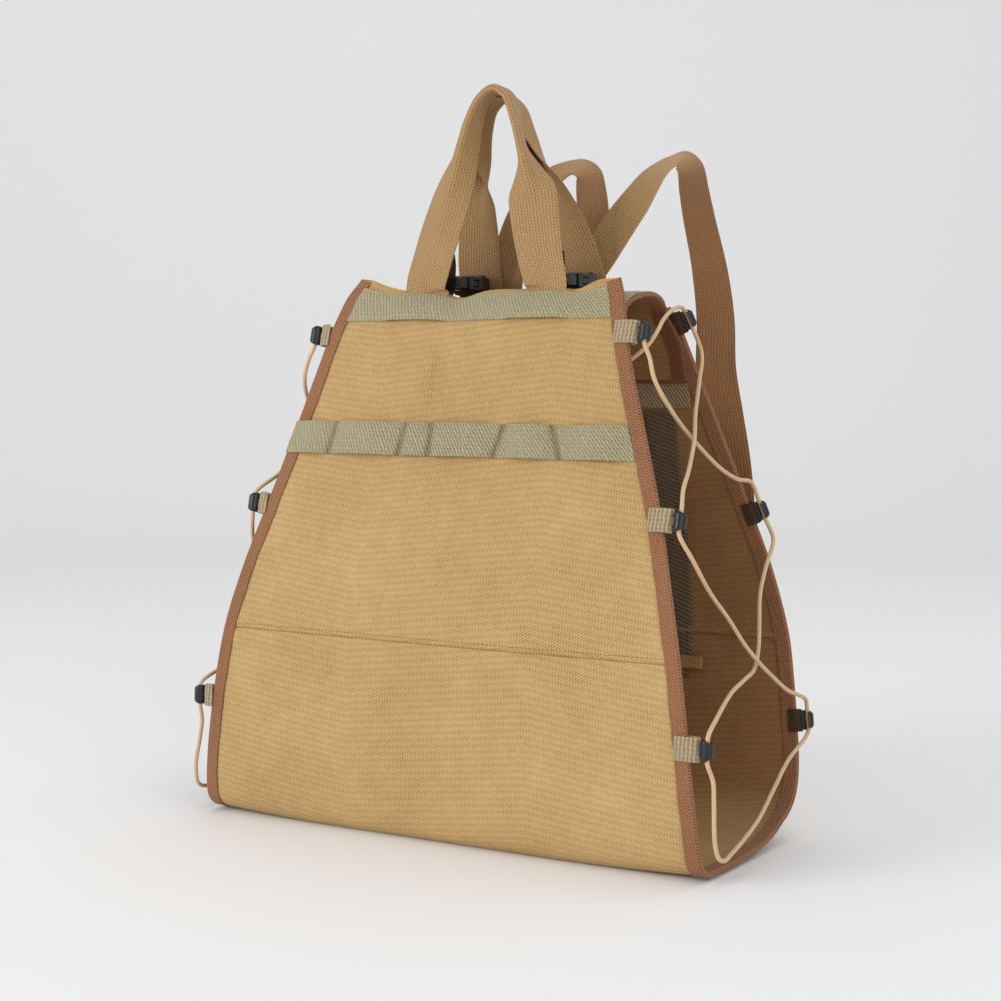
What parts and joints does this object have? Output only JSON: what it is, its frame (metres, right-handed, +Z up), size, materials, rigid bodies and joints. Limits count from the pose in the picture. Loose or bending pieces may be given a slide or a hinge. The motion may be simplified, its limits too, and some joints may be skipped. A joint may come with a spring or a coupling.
{
  "type": "log carrier",
  "caption": "Tall canvas log carrier, open at both sides, with carry handles, shoulder straps, webbing bands, cord-laced side edges and side-release buckles.",
  "frame": {"origin": "middle of the footprint, on the ground; cords counted or not", "axes": "+Z up, +X across the panels towards the carrier's right side as seen from the front, +Y from the front panel to the back panel"},
  "size_m": [0.472, 0.2166, 0.5778],
  "materials": {
    "canvas": "waxed golden tan twill",
    "edge_tape": "rust brown herringbone tape",
    "sage_webbing": "ribbed sage webbing",
    "tan_webbing": "twill-woven tan webbing",
    "dark_webbing": "dark brown webbing",
    "cord": "braided cream cord",
    "black_plastic": "satin black"
  },
  "bodies": {
    "root": {"front_panel": "canvas", "base_panel": "canvas", "back_panel": "canvas", "top_flap": "canvas", "top_band": "sage_webbing", "mid_band": "sage_webbing", "inner_band": "sage_webbing", "front_handle": "tan_webbing", "back_handle": "tan_webbing", "edge_tape_left": "edge_tape", "flap_tape_left": "edge_tape", "inner_strap_left": "sage_webbing", "inner_strap_tab_left": "tan_webbing", "shoulder_strap_left": "tan_webbing", "lacing_tab_front_top_left": "sage_webbing", "lacing_hook_front_top_left": "black_plastic", "lacing_tab_front_middle_left": "sage_webbing", "lacing_hook_front_middle_left": "black_plastic", "lacing_tab_front_low_left": "sage_webbing", "lacing_hook_front_low_left": "black_plastic", "lacing_tab_back_top_left": "sage_webbing", "lacing_hook_back_top_left": "black_plastic", "lacing_tab_back_middle_left": "sage_webbing", "lacing_hook_back_middle_left": "black_plastic", "lacing_tab_back_low_left": "sage_webbing", "lacing_hook_back_low_left": "black_plastic", "buckle_plug_left": "black_plastic", "buckle_socket_left": "black_plastic", "buckle_strap_left": "sage_webbing", "buckle_tail_left": "dark_webbing", "corner_tab_left": "sage_webbing", "cord_left": "cord", "edge_tape_right": "edge_tape", "flap_tape_right": "edge_tape", "inner_strap_right": "sage_webbing", "inner_strap_tab_right": "tan_webbing", "shoulder_strap_right": "tan_webbing", "lacing_tab_front_top_right": "sage_webbing", "lacing_hook_front_top_right": "black_plastic", "lacing_tab_front_middle_right": "sage_webbing", "lacing_hook_front_middle_right": "black_plastic", "lacing_tab_front_low_right": "sage_webbing", "lacing_hook_front_low_right": "black_plastic", "lacing_tab_back_top_right": "sage_webbing", "lacing_hook_back_top_right": "black_plastic", "lacing_tab_back_middle_right": "sage_webbing", "lacing_hook_back_middle_right": "black_plastic", "lacing_tab_back_low_right": "sage_webbing", "lacing_hook_back_low_right": "black_plastic", "buckle_plug_right": "black_plastic", "buckle_socket_right": "black_plastic", "buckle_strap_right": "sage_webbing", "buckle_tail_right": "dark_webbing", "corner_tab_right": "sage_webbing", "cord_right": "cord"}
  },
  "joints": []
}
